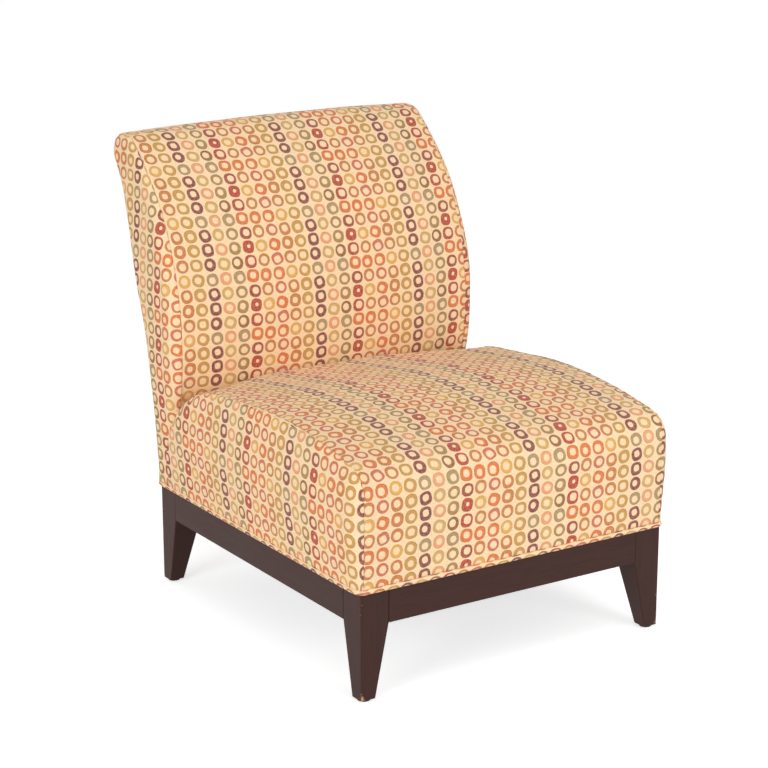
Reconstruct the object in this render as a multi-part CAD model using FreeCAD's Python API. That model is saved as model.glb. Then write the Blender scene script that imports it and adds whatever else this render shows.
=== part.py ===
import FreeCAD, Part
import math
import os

# Slipper chair: an upholstered seat and back on a low base of dark show-wood.
# Millimetres, +Z up. The chair faces -Y, and left is the side towards -X.
# Everything is laid out about the middle of the base, and moved at the end
# so that the origin lies on the floor under the middle of the whole chair.

V = FreeCAD.Vector

# Base of show-wood
BASE_WIDTH = 640.0
BASE_DEPTH = 713.0
BASE_HEIGHT = 194.0
BASE_RAIL_HEIGHT = 60.0
BASE_RAIL_THICKNESS = 22.0
LEG_SIZE = 56.0
FOOT_SIZE = 29.0
WOOD_EDGE = 1.5
TENON_LENGTH = 20.0
TENON_THICKNESS = 10.0
TENON_SHOULDER = 10.0
GLIDE_DIAMETER = 22.0
GLIDE_HEIGHT = 4.0
GLIDE_NAIL_DIAMETER = 3.0
GLIDE_NAIL_LENGTH = 18.0
GLIDE_FACETS = 16
BASE_BLOCK_WING = 75.0
BASE_BLOCK_HEIGHT = 40.0
BASE_BLOCK_DROP = 8.0

# Fasteners
SCREW_DIAMETER = 4.0
SCREW_HEAD_DIAMETER = 8.0
SCREW_HEAD_HEIGHT = 3.0
SCREW_BITE = 12.0
SCREW_WOOD_UNDER_HEAD = 14.0
BOLT_DIAMETER = 8.0
BOLT_HEAD_DIAMETER = 14.0
BOLT_HEAD_HEIGHT = 5.0
BOLT_BITE = 38.0
BOLT_CLEAR = 10.0
LAG_SPACING = 50.0
LAG_BITE = 60.0
ROD_FACETS = 8

# Outside of the seat, over the fabric
SEAT_HEIGHT = 444.0
SEAT_REAR_DROP = 41.0
SEAT_FRONT_DROP = 47.0
SEAT_DEPTH = 618.0
SEAT_CREST_SETBACK = 249.0
SEAT_CREST_RADIUS = 830.0
SEAT_PEAK_RISE = 15.0
SEAT_FRONT_RADIUS = 45.0
SEAT_SIDE_DROP = 13.0
SEAT_SIDE_CREST_SHIFT = 38.0
SEAT_SHOULDER_RISE = 4.0
SEAT_SHOULDER_RADIUS = 200.0
SEAT_TUCK = 43.0
SEAT_REAR_SLANT = 61.0

# Outside of the back, over the fabric
OVERALL_HEIGHT = 865.0
BACK_FOOT_DEPTH = 32.0
BACK_KNEE_HEIGHT = 240.0
BACK_KNEE_RADIUS = 100.0
LUMBAR_DROP = 13.0
LUMBAR_RADIUS = 400.0
BACK_FRONT_DROP = 168.0
BACK_FRONT_RADIUS = 440.0
BACK_TOP_SETBACK = 186.0
BACK_TOP_RADIUS = 55.0
SCROLL_RADIUS = 32.0
SCROLL_OVERHANG = 72.0
SCROLL_UNDER_RADIUS = 150.0
RAKE_FOOT_HEIGHT = 434.0
RAKE_FOOT_RADIUS = 700.0
RAKE_TOP_DROP = 115.0
RAKE_SETBACK = 105.0
BACK_FRONT_CROWN = 7.0
BACK_TOP_CROWN = 8.0

# Overhang of the upholstery past the base, its drawn-in sides and its hem
HEM_OVERHANG = 6.0
FRONT_HEM_OVERHANG = 1.5
FRONT_BULGE = 5.0
REAR_HEM_OVERHANG = 4.5
SEAT_SIDE_BULGE = 11.0
BACK_SIDE_BULGE = 15.0
SEAT_SIDE_HEIGHT = 330.0
SEAT_SIDE_PEAK = 14.0
SEAT_SIDE_RADIUS = 400.0
SEAT_TOP_DRAW = 8.0
BACK_SIDE_HEIGHT = 500.0
BACK_SIDE_PEAK = 20.0
BACK_SIDE_RADIUS = 2800.0
BACK_TOP_SPREAD = 2.0
BODY_EDGE_RADIUS = 22.0
CROWN_POWER = 3
CROWN_STATIONS = 3
EDGE_STATIONS = 3
HEM_HEIGHT = 8.0
HEM_PROUD = 3.5

# Layers of the upholstery
COVER_THICKNESS = 1.5
SIDE_PADDING = 6.5
DUST_COVER_THICKNESS = 0.8
INSULATOR_THICKNESS = 2.0
STRAP_THICKNESS = 2.0
BOARD_THICKNESS = 2.0
TACK_STRIP_WIDTH = 12.0
OUTSIDE_BACK_DROP = 8.0

# Inner frame and webbing of the seat
BOX_RAIL_THICKNESS = 25.0
BOX_RAIL_HEIGHT = 105.0
BOX_BLOCK_WING = 90.0
BOX_BLOCK_HEIGHT = 60.0
WEB_WIDTH = 50.0
WEB_THICKNESS = 1.8
LONG_WEBS = 5
CROSS_WEBS = 5

# Inner frame of the back
POST_THICKNESS = 25.0
POST_DEPTH = 50.0
POST_STEP = 45.0
POST_TOP_PADDING = 51.0
BACK_RAIL_HEIGHT = 45.0
BACK_RAIL_THICKNESS = 24.0
TACK_RAIL_RISE = 5.0
TACK_RAIL_SETBACK = 12.0
BOARD_DROP = 30.0
STRAP_COUNT = 4
STRAP_WIDTH = 50.0

# Straight stretches run on this far past an edge that is trimmed afterwards
RUN_ON = 60.0

# Most that two rounded corners may take up of the straight side between them
ROUNDED_SHARE = 0.98

# Places worked out from the sizes above
HALF_WIDTH = BASE_WIDTH / 2
HALF_DEPTH = BASE_DEPTH / 2
RAIL_BOTTOM = BASE_HEIGHT - BASE_RAIL_HEIGHT
BASE_BLOCK_TOP = BASE_HEIGHT - BASE_BLOCK_DROP
BASE_BLOCK_BOTTOM = BASE_BLOCK_TOP - BASE_BLOCK_HEIGHT
HEM_HALF = HALF_WIDTH + HEM_OVERHANG
SEAT_HALF = HEM_HALF + SEAT_SIDE_BULGE
BACK_HALF = HEM_HALF + BACK_SIDE_BULGE
BODY_HALF = max(SEAT_HALF, BACK_HALF)
SEAT_REAR_HEIGHT = SEAT_HEIGHT - SEAT_REAR_DROP
SEAT_FRONT_HEIGHT = SEAT_HEIGHT - SEAT_FRONT_DROP
LUMBAR_HEIGHT = SEAT_REAR_HEIGHT - LUMBAR_DROP
BACK_FRONT_HEIGHT = OVERALL_HEIGHT - BACK_FRONT_DROP
RAKE_TOP_HEIGHT = OVERALL_HEIGHT - RAKE_TOP_DROP
TACK_RAIL_BOTTOM = LUMBAR_HEIGHT + TACK_RAIL_RISE
TACK_RAIL_TOP = TACK_RAIL_BOTTOM + BACK_RAIL_HEIGHT
HEM_FRONT_Y = -HALF_DEPTH - FRONT_HEM_OVERHANG
HEM_REAR_Y = HALF_DEPTH + REAR_HEM_OVERHANG
SEAT_FRONT_Y = -HALF_DEPTH - FRONT_BULGE
LUMBAR_Y = SEAT_FRONT_Y + SEAT_DEPTH
JOINT_Y = HEM_REAR_Y - BACK_FOOT_DEPTH
LINING = COVER_THICKNESS + SIDE_PADDING
FRAME_HALF = HEM_HALF - LINING
FRAME_FRONT_Y = HEM_FRONT_Y + LINING
RAIL_INNER_X = FRAME_HALF - BOX_RAIL_THICKNESS
POST_INNER_X = FRAME_HALF - POST_THICKNESS
BOX_BOTTOM = BASE_HEIGHT + DUST_COVER_THICKNESS
BOX_TOP = BOX_BOTTOM + BOX_RAIL_HEIGHT
INSULATOR_Z = BOX_TOP + 2 * WEB_THICKNESS
FOAM_Z = INSULATOR_Z + INSULATOR_THICKNESS
POST_REAR_INSET = COVER_THICKNESS + BOARD_THICKNESS
POST_FRONT_INSET = POST_REAR_INSET + POST_DEPTH
STRAP_INSET = POST_FRONT_INSET + STRAP_THICKNESS
POST_REAR_Y = HEM_REAR_Y - POST_REAR_INSET
POST_TOP = OVERALL_HEIGHT - POST_TOP_PADDING
RAKE_SLOPE = RAKE_SETBACK / (RAKE_TOP_HEIGHT - RAKE_FOOT_HEIGHT)
CORNERS = {
    "front_left": (-1, -1),
    "front_right": (1, -1),
    "rear_left": (-1, 1),
    "rear_right": (1, 1),
}


def box(x0, x1, y0, y1, z0, z1):
    return Part.makeBox(x1 - x0, y1 - y0, z1 - z0, V(x0, y0, z0))


def rod(diameter, start, end, facets=ROD_FACETS):
    """Straight rod with flat facets, as wide across its corners as its diameter."""
    run = end - start
    ring = Part.makeCircle(diameter / 2, start, run).discretize(facets + 1)
    return Part.Face(Part.makePolygon(ring)).extrude(run)


def headed_screw(diameter, head_diameter, head_height, tip, seat):
    """Screw from its tip to the face that its head is seated on."""
    head_top = seat + (seat - tip).normalize() * head_height
    return rod(diameter, tip, seat).fuse(rod(head_diameter, seat, head_top))


def prism(points, run):
    return Part.Face(Part.makePolygon(points + points[:1])).extrude(run)


def crossing(p, along_p, q, along_q):
    """Point where the line through p meets the line through q."""
    share = (q - p).cross(along_q).z / along_p.cross(along_q).z
    return p + along_p * share


def rounding_room(tips, reaches):
    """Share of their radii that the corners at the two ends of each side have room for."""
    room = []
    for i in range(len(tips)):
        taken = reaches[i - 1] + reaches[i]
        usable = ROUNDED_SHARE * tips[i - 1].distanceToPoint(tips[i])
        room.append(usable / taken if taken > usable else 1)
    return room


def outline(corners, inset, place):
    """Closed wire of straight sides and tangent arcs, drawn inset from corners given as (u, v, radius)."""
    count = len(corners)
    points = [V(u, v, 0) for u, v, radius in corners]
    area = sum(points[i - 1].cross(points[i]).z for i in range(count))
    inward = V(0, 0, math.copysign(inset, area))
    sides = [(points[i] - points[i - 1]).normalize() for i in range(count)]
    starts = [points[i] + inward.cross(sides[i]) for i in range(count)]
    tips, radii, half_turns = [], [], []
    for i in range(count):
        arriving, leaving = sides[i], sides[(i + 1) % count]
        tips.append(crossing(starts[i], arriving, starts[(i + 1) % count], leaving))
        bulges = arriving.cross(leaving).z * area > 0
        radii.append(corners[i][2] and corners[i][2] + (-inset if bulges else inset))
        half_turns.append(arriving.getAngle(leaving) / 2)
    room = rounding_room(tips, [radius * math.tan(turn) for radius, turn in zip(radii, half_turns)])
    ends = []
    for i in range(count):
        arriving, leaving = sides[i], sides[(i + 1) % count]
        radius = radii[i] * min(room[i], room[(i + 1) % count])
        reach = radius * math.tan(half_turns[i])
        middle = tips[i] + (leaving - arriving).normalize() * radius * (1 / math.cos(half_turns[i]) - 1)
        ends.append([place(p) for p in (tips[i] - arriving * reach, middle, tips[i] + leaving * reach)])
    edges = []
    for i in range(count):
        edges.append(Part.makeLine(ends[i - 1][2], ends[i][0]))
        if corners[i][2]:
            edges.append(Part.Arc(*ends[i]).toShape())
    return Part.Wire(edges)


def side_outline(corners, inset, x):
    return outline(corners, inset, lambda p: V(x, p.x, p.y))


def side_slab(corners, x0, x1):
    """Board of one thickness, cut to an outline in the side view."""
    return Part.Face(side_outline(corners, 0, x0)).extrude(V(x1 - x0, 0, 0))


def envelope(trim, inset):
    """Block as deep as the chair, cut to the drawn-in sides, given from the hem up as (x, z, radius)."""
    hem = (HEM_HALF, BASE_HEIGHT - inset, 0)
    top = (trim[-1][0], OVERALL_HEIGHT + RUN_ON, 0)
    half = [hem] + trim + [top]
    corners = [(-x, z, radius) for x, z, radius in half] + list(reversed(half))
    wire = outline(corners, inset, lambda p: V(p.x, -BASE_DEPTH, p.y))
    return Part.Face(wire).extrude(V(0, 2 * BASE_DEPTH, 0))


def soft_body(middle, side, half_width, trim, inset):
    """Crowned middle and its rounded left and right sides, all drawn inset from the outside."""
    edge = BODY_EDGE_RADIUS - inset
    seam_x = half_width - BODY_EDGE_RADIUS
    crown = []
    for step in range(-CROWN_STATIONS, CROWN_STATIONS + 1):
        part_way = step / CROWN_STATIONS
        share = abs(part_way) ** CROWN_POWER
        corners = [tuple(m + (s - m) * share for m, s in zip(*pair)) for pair in zip(middle, side)]
        crown.append(side_outline(corners, inset, seam_x * part_way))
    bodies = [Part.makeLoft(crown, True, True)]
    for hand in (-1, 1):
        rounding = []
        for step in range(EDGE_STATIONS + 1):
            turn = math.pi / 2 * step / EDGE_STATIONS
            x = hand * (seam_x + edge * math.sin(turn))
            rounding.append(side_outline(side, inset + edge * (1 - math.cos(turn)), x))
        bodies.append(Part.makeLoft(rounding, True, True))
    block = envelope(trim, inset)
    return [body.common(block) for body in bodies]


def back_corners(front_crown, top_crown):
    """Side view of the back: up the lumbar and the leaning front, over the scroll and down the rake."""
    front = LUMBAR_Y - front_crown
    top = OVERALL_HEIGHT - BACK_TOP_CROWN + top_crown
    rake_top_y = HEM_REAR_Y + RAKE_SETBACK
    return [
        (JOINT_Y, BASE_HEIGHT - RUN_ON, 0),
        (JOINT_Y, BACK_KNEE_HEIGHT, BACK_KNEE_RADIUS),
        (front, LUMBAR_HEIGHT, LUMBAR_RADIUS),
        (front, BACK_FRONT_HEIGHT, BACK_FRONT_RADIUS),
        (LUMBAR_Y + BACK_TOP_SETBACK, top, BACK_TOP_RADIUS),
        (rake_top_y + SCROLL_OVERHANG, top, SCROLL_RADIUS),
        (rake_top_y, RAKE_TOP_HEIGHT, SCROLL_UNDER_RADIUS),
        (HEM_REAR_Y, RAKE_FOOT_HEIGHT, RAKE_FOOT_RADIUS),
        (HEM_REAR_Y, BASE_HEIGHT - RUN_ON, 0),
    ]


def back_body(inset):
    trim = [
        (HEM_HALF + BACK_SIDE_PEAK, BACK_SIDE_HEIGHT, BACK_SIDE_RADIUS),
        (HEM_HALF + BACK_TOP_SPREAD, OVERALL_HEIGHT, 0),
    ]
    middle = back_corners(BACK_FRONT_CROWN, BACK_TOP_CROWN)
    return soft_body(middle, back_corners(0, 0), BACK_HALF, trim, inset)


def seat_corners():
    """Side views of the seat, in the middle and at the side seams, where the rear shoulder rounds down."""
    bottom = BASE_HEIGHT - RUN_ON
    foot = (HEM_FRONT_Y, bottom, 0)
    crest_y = SEAT_FRONT_Y + SEAT_CREST_SETBACK
    crest_z = SEAT_HEIGHT + SEAT_PEAK_RISE
    middle = [
        foot,
        (SEAT_FRONT_Y, SEAT_FRONT_HEIGHT, SEAT_FRONT_RADIUS),
        (crest_y, crest_z, SEAT_CREST_RADIUS),
        (LUMBAR_Y + SEAT_TUCK, SEAT_REAR_HEIGHT, SEAT_FRONT_RADIUS),
        (JOINT_Y + BACK_FOOT_DEPTH / 2, bottom, 0),
    ]
    side = [
        foot,
        (SEAT_FRONT_Y, SEAT_FRONT_HEIGHT, SEAT_FRONT_RADIUS),
        (crest_y - SEAT_SIDE_CREST_SHIFT, crest_z - SEAT_SIDE_DROP, SEAT_CREST_RADIUS),
        (LUMBAR_Y, SEAT_REAR_HEIGHT + SEAT_SHOULDER_RISE, SEAT_SHOULDER_RADIUS),
        (JOINT_Y + SEAT_REAR_SLANT, bottom, 0),
    ]
    return middle, side


def seat_body(inset):
    trim = [
        (HEM_HALF + SEAT_SIDE_PEAK, SEAT_SIDE_HEIGHT, SEAT_SIDE_RADIUS),
        (HEM_HALF - SEAT_TOP_DRAW, SEAT_HEIGHT + RUN_ON, 0),
    ]
    return soft_body(*seat_corners(), SEAT_HALF, trim, inset)


def corner_point(hand, inward_x, inward_y, z):
    """Point measured inwards from the outer corner of one leg."""
    return V(hand[0] * (HALF_WIDTH - inward_x), hand[1] * (HALF_DEPTH - inward_y), z)


def leg(hand):
    """Square block beside the rails, tapered below them on its two inner faces."""
    taper = [
        (0, GLIDE_HEIGHT),
        (FOOT_SIZE, GLIDE_HEIGHT),
        (LEG_SIZE, RAIL_BOTTOM),
        (LEG_SIZE, BASE_HEIGHT),
        (0, BASE_HEIGHT),
    ]
    across = prism([corner_point(hand, u, 0, z) for u, z in taper], V(0, -hand[1] * LEG_SIZE, 0))
    along = prism([corner_point(hand, 0, v, z) for v, z in taper], V(-hand[0] * LEG_SIZE, 0, 0))
    shape = across.common(along)
    upright = [edge for edge in shape.Edges if edge.BoundBox.ZLength > BASE_RAIL_HEIGHT / 2]
    return shape.makeChamfer(WOOD_EDGE, upright)


def tenons(hand):
    """Tenons of the two rails that meet in one leg, named by the way they run."""
    near, far = LEG_SIZE - TENON_LENGTH, LEG_SIZE
    inner = (BASE_RAIL_THICKNESS - TENON_THICKNESS) / 2
    outer = inner + TENON_THICKNESS
    z = RAIL_BOTTOM + TENON_SHOULDER
    height = V(0, 0, BASE_RAIL_HEIGHT - 2 * TENON_SHOULDER)
    sizes = ((near, inner), (far, inner), (far, outer), (near, outer))
    across = prism([corner_point(hand, u, v, z) for u, v in sizes], height)
    along = prism([corner_point(hand, v, u, z) for u, v in sizes], height)
    return {"across": across, "along": along}


def base_rail(side, across):
    """Rail flush with the outer faces of its legs, with a tenon at each end."""
    if across:
        half, outer, run = HALF_WIDTH - LEG_SIZE, side * HALF_DEPTH, "across"
        inner = outer - side * BASE_RAIL_THICKNESS
        plank = box(-half, half, min(outer, inner), max(outer, inner), RAIL_BOTTOM, BASE_HEIGHT)
        hands = ((-1, side), (1, side))
    else:
        half, outer, run = HALF_DEPTH - LEG_SIZE, side * HALF_WIDTH, "along"
        inner = outer - side * BASE_RAIL_THICKNESS
        plank = box(min(outer, inner), max(outer, inner), -half, half, RAIL_BOTTOM, BASE_HEIGHT)
        hands = ((side, -1), (side, 1))
    return plank.fuse([tenons(hand)[run] for hand in hands])


def base_rails():
    return {
        "base_rail_front": base_rail(-1, True),
        "base_rail_rear": base_rail(1, True),
        "base_rail_left": base_rail(-1, False),
        "base_rail_right": base_rail(1, False),
    }


def base_block(hand):
    """Corner block that fits round the leg between two rails."""
    reach = LEG_SIZE + BASE_BLOCK_WING
    rail = BASE_RAIL_THICKNESS
    shape = ((LEG_SIZE, rail), (reach, rail), (rail, reach), (rail, LEG_SIZE), (LEG_SIZE, LEG_SIZE))
    return prism([corner_point(hand, u, v, BASE_BLOCK_BOTTOM) for u, v in shape], V(0, 0, BASE_BLOCK_HEIGHT))


def block_screw_line(hand, turned):
    """Tip, head seat and outer end of the screw that holds a base block to one of its rails."""
    head_room = SCREW_WOOD_UNDER_HEAD + SCREW_HEAD_HEIGHT + SCREW_HEAD_DIAMETER / 2
    across = LEG_SIZE + BASE_BLOCK_WING - head_room
    z = (BASE_BLOCK_TOP + BASE_BLOCK_BOTTOM) / 2
    line = []
    for depth in (-SCREW_BITE, SCREW_WOOD_UNDER_HEAD, BASE_BLOCK_WING):
        spot = (across, BASE_RAIL_THICKNESS + depth)
        line.append(corner_point(hand, *(reversed(spot) if turned else spot), z))
    return line


def base_screws():
    lines = [block_screw_line(hand, turned) for hand in CORNERS.values() for turned in (False, True)]
    sizes = (SCREW_DIAMETER, SCREW_HEAD_DIAMETER, SCREW_HEAD_HEIGHT)
    screws = [headed_screw(*sizes, tip, seat) for tip, seat, end in lines]
    counterbores = [rod(SCREW_HEAD_DIAMETER, seat, end) for tip, seat, end in lines]
    return screws, counterbores


def base_bolts():
    """Upright bolts that hold the base to the blocks in the seat box."""
    bolts = []
    setback = LEG_SIZE + BOLT_CLEAR
    for hand in CORNERS.values():
        tip = corner_point(hand, setback, setback, BOX_BOTTOM + BOLT_BITE)
        seat = corner_point(hand, setback, setback, BASE_BLOCK_BOTTOM)
        bolts.append(headed_screw(BOLT_DIAMETER, BOLT_HEAD_DIAMETER, BOLT_HEAD_HEIGHT, tip, seat))
    return bolts


def glide(hand):
    """Nylon disc with a steel nail up into the foot."""
    middle = corner_point(hand, FOOT_SIZE / 2, FOOT_SIZE / 2, 0)
    disc = rod(GLIDE_DIAMETER, middle, middle + V(0, 0, GLIDE_HEIGHT), GLIDE_FACETS)
    nail = rod(GLIDE_NAIL_DIAMETER, middle, middle + V(0, 0, GLIDE_HEIGHT + GLIDE_NAIL_LENGTH))
    return disc.fuse(nail).removeSplitter()


def box_rails():
    front_inner = FRAME_FRONT_Y + BOX_RAIL_THICKNESS
    rear_inner = JOINT_Y - BOX_RAIL_THICKNESS
    return {
        "seat_rail_front": box(-FRAME_HALF, FRAME_HALF, FRAME_FRONT_Y, front_inner, BOX_BOTTOM, BOX_TOP),
        "seat_rail_rear": box(-FRAME_HALF, FRAME_HALF, rear_inner, JOINT_Y, BOX_BOTTOM, BOX_TOP),
        "seat_rail_left": box(-FRAME_HALF, -RAIL_INNER_X, front_inner, rear_inner, BOX_BOTTOM, BOX_TOP),
        "seat_rail_right": box(RAIL_INNER_X, FRAME_HALF, front_inner, rear_inner, BOX_BOTTOM, BOX_TOP),
    }


def box_blocks():
    """Triangular blocks glued into the four inner corners of the seat box."""
    blocks = []
    for across, along in CORNERS.values():
        x = across * RAIL_INNER_X
        y = (JOINT_Y if along > 0 else FRAME_FRONT_Y) - along * BOX_RAIL_THICKNESS
        corner = V(x, y, BOX_BOTTOM)
        points = [corner, corner - V(across * BOX_BLOCK_WING, 0, 0), corner - V(0, along * BOX_BLOCK_WING, 0)]
        blocks.append(prism(points, V(0, 0, BOX_BLOCK_HEIGHT)))
    return blocks


def web_places(low, high, count):
    """Middles of the straps that share one opening of a frame evenly."""
    return [low + (high - low) * (2 * index + 1) / (2 * count) for index in range(count)]


def long_web_places():
    return web_places(-RAIL_INNER_X, RAIL_INNER_X, LONG_WEBS)


def cross_web_places():
    return web_places(FRAME_FRONT_Y + BOX_RAIL_THICKNESS, JOINT_Y - BOX_RAIL_THICKNESS, CROSS_WEBS)


def web_strip(start, end, crossings, order):
    """Side view of a strap tacked on two rails, over one crossing strap and under the next."""
    low = BOX_TOP + WEB_THICKNESS / 2
    line = [(start, low)]
    for index, middle in enumerate(crossings):
        z = low + WEB_THICKNESS * ((index + order) % 2)
        line += [(middle - WEB_WIDTH / 2, z), (middle + WEB_WIDTH / 2, z)]
    line.append((end, low))
    half = WEB_THICKNESS / 2
    return [(u, z - half) for u, z in line] + [(u, z + half) for u, z in reversed(line)]


def long_web(index):
    x = long_web_places()[index] - WEB_WIDTH / 2
    strip = web_strip(FRAME_FRONT_Y, JOINT_Y, cross_web_places(), index)
    return prism([V(x, u, z) for u, z in strip], V(WEB_WIDTH, 0, 0))


def cross_web(index):
    y = cross_web_places()[index] - WEB_WIDTH / 2
    strip = web_strip(-FRAME_HALF, FRAME_HALF, long_web_places(), index + 1)
    return prism([V(u, y, z) for u, z in strip], V(0, WEB_WIDTH, 0))


def rake_foot(inset):
    rise = inset * (math.hypot(1, RAKE_SLOPE) - 1) / RAKE_SLOPE
    return (HEM_REAR_Y - inset, RAKE_FOOT_HEIGHT + rise, RAKE_FOOT_RADIUS + inset)


def rake_y(z, inset):
    return HEM_REAR_Y + (z - RAKE_FOOT_HEIGHT) * RAKE_SLOPE - inset * math.hypot(1, RAKE_SLOPE)


def rake_band(near, deep, half_width, top):
    """Layer of the back, bounded by two lines that run up the rear outline at given insets from it."""
    bottom = BASE_HEIGHT
    corners = [
        (HEM_REAR_Y - near, bottom, 0),
        rake_foot(near),
        (rake_y(top, near), top, 0),
        (rake_y(top, deep), top, 0),
        rake_foot(deep),
        (HEM_REAR_Y - deep, bottom, 0),
    ]
    return side_slab(corners, -half_width, half_width)


def post_step():
    """Space in front of the posts, where they step back to stand behind the seat box."""
    front = HEM_REAR_Y - STRAP_INSET
    corners = [
        (front - RUN_ON, BASE_HEIGHT, 0),
        (JOINT_Y, BASE_HEIGHT, 0),
        (JOINT_Y, BOX_TOP, 0),
        (front, BOX_TOP + POST_STEP, 0),
        (front - RUN_ON, BOX_TOP + POST_STEP, 0),
    ]
    return side_slab(corners, -BODY_HALF, BODY_HALF)


def back_posts(step):
    """Pair of curved posts, one thickness of board each, sawn to the rake of the back."""
    frame = rake_band(POST_REAR_INSET, POST_FRONT_INSET, FRAME_HALF, POST_TOP).cut(step)
    below = box(-BODY_HALF, BODY_HALF, 0, BASE_DEPTH, 0, BOX_BOTTOM)
    frame = frame.cut(below)
    left = box(-FRAME_HALF, -POST_INNER_X, 0, BASE_DEPTH, 0, OVERALL_HEIGHT)
    right = box(POST_INNER_X, FRAME_HALF, 0, BASE_DEPTH, 0, OVERALL_HEIGHT)
    return frame.common(left), frame.common(right)


def back_rails():
    low = POST_TOP - BACK_RAIL_HEIGHT
    top_corners = [
        (rake_y(low, POST_REAR_INSET), low, 0),
        (rake_y(POST_TOP, POST_REAR_INSET), POST_TOP, 0),
        (rake_y(POST_TOP, POST_FRONT_INSET), POST_TOP, 0),
        (rake_y(low, POST_FRONT_INSET), low, 0),
    ]
    front = HEM_REAR_Y - POST_FRONT_INSET + TACK_RAIL_SETBACK
    half = POST_INNER_X
    return {
        "back_rail_top": side_slab(top_corners, -half, half),
        "back_rail_middle": box(-half, half, front, front + BACK_RAIL_THICKNESS, TACK_RAIL_BOTTOM, TACK_RAIL_TOP),
        "back_rail_bottom": box(-half, half, JOINT_Y, POST_REAR_Y, BOX_BOTTOM, BOX_BOTTOM + BACK_RAIL_HEIGHT),
    }


def lag_screws():
    """Two long screws through the foot of each post into the seat box."""
    screws = []
    x = (FRAME_HALF + POST_INNER_X) / 2
    middle = (BOX_BOTTOM + BOX_TOP) / 2
    seat_y = POST_REAR_Y - BOLT_HEAD_HEIGHT
    for side in (-x, x):
        for z in (middle - LAG_SPACING / 2, middle + LAG_SPACING / 2):
            tip, seat = V(side, seat_y - LAG_BITE, z), V(side, seat_y, z)
            screws.append(headed_screw(BOLT_DIAMETER, BOLT_HEAD_DIAMETER, BOLT_HEAD_HEIGHT, tip, seat))
    return screws


def back_strap(index):
    """Elastic webbing stretched across the front of the posts."""
    layer = rake_band(POST_FRONT_INSET, STRAP_INSET, FRAME_HALF, POST_TOP)
    z = web_places(TACK_RAIL_TOP, POST_TOP - BACK_RAIL_HEIGHT, STRAP_COUNT)[index]
    return layer.common(box(-BODY_HALF, BODY_HALF, 0, BASE_DEPTH, z - STRAP_WIDTH / 2, z + STRAP_WIDTH / 2))


def hem_bands(seat, back):
    """Folded band of the same fabric round the foot of the upholstery, in four lengths."""
    half = HEM_HALF + HEM_PROUD
    front, rear = HEM_FRONT_Y - HEM_PROUD, HEM_REAR_Y + HEM_PROUD
    ring = box(-half, half, front, rear, BASE_HEIGHT, BASE_HEIGHT + HEM_HEIGHT).cut([seat, back])
    top = BASE_HEIGHT + HEM_HEIGHT
    cuts = {
        "hem_front": box(-half, half, front, FRAME_FRONT_Y, BASE_HEIGHT, top),
        "hem_rear": box(-half, half, POST_REAR_Y, rear, BASE_HEIGHT, top),
        "hem_left": box(-half, 0, FRAME_FRONT_Y, POST_REAR_Y, BASE_HEIGHT, top),
        "hem_right": box(0, half, FRAME_FRONT_Y, POST_REAR_Y, BASE_HEIGHT, top),
    }
    return {name: ring.common(cut) for name, cut in cuts.items()}


def whole(pieces):
    return pieces[0].fuse(pieces[1:]).removeSplitter()


def base_parts():
    screws, counterbores = base_screws()
    bolts = base_bolts()
    made = {"base_block_screws": screws, "base_bolts": bolts}
    for place, hand in CORNERS.items():
        made["glide_" + place] = [glide(hand)]
        made["leg_" + place] = [leg(hand).cut(list(tenons(hand).values()) + made["glide_" + place])]
        made["base_block_" + place] = [base_block(hand).cut(screws + counterbores + bolts)]
    for name, rail in base_rails().items():
        made[name] = [rail.cut(screws)]
    return made


def seat_frame_parts():
    bolts = base_bolts()
    lags = lag_screws()
    made = {"back_lag_screws": lags}
    for name, rail in box_rails().items():
        made[name] = [rail.cut(lags)]
    made["seat_corner_blocks"] = [block.cut(bolts) for block in box_blocks()]
    for index in range(LONG_WEBS):
        made["seat_web_long_%d" % (index + 1)] = [long_web(index)]
    for index in range(CROSS_WEBS):
        made["seat_web_cross_%d" % (index + 1)] = [cross_web(index)]
    dust_cover = box(-FRAME_HALF, FRAME_HALF, FRAME_FRONT_Y, POST_REAR_Y, BASE_HEIGHT, BOX_BOTTOM)
    made["dust_cover"] = [dust_cover.cut(bolts)]
    return made


def back_frame_parts(step):
    lags = lag_screws()
    left, right = back_posts(step)
    made = {"back_post_left": [left.cut(lags)], "back_post_right": [right.cut(lags)]}
    for name, rail in back_rails().items():
        made[name] = [rail]
    for index in range(STRAP_COUNT):
        made["back_strap_%d" % (index + 1)] = [back_strap(index)]
    board_top = RAKE_TOP_HEIGHT - BOARD_DROP
    made["back_board"] = [rake_band(COVER_THICKNESS, POST_REAR_INSET, FRAME_HALF, board_top)]
    return made


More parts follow.
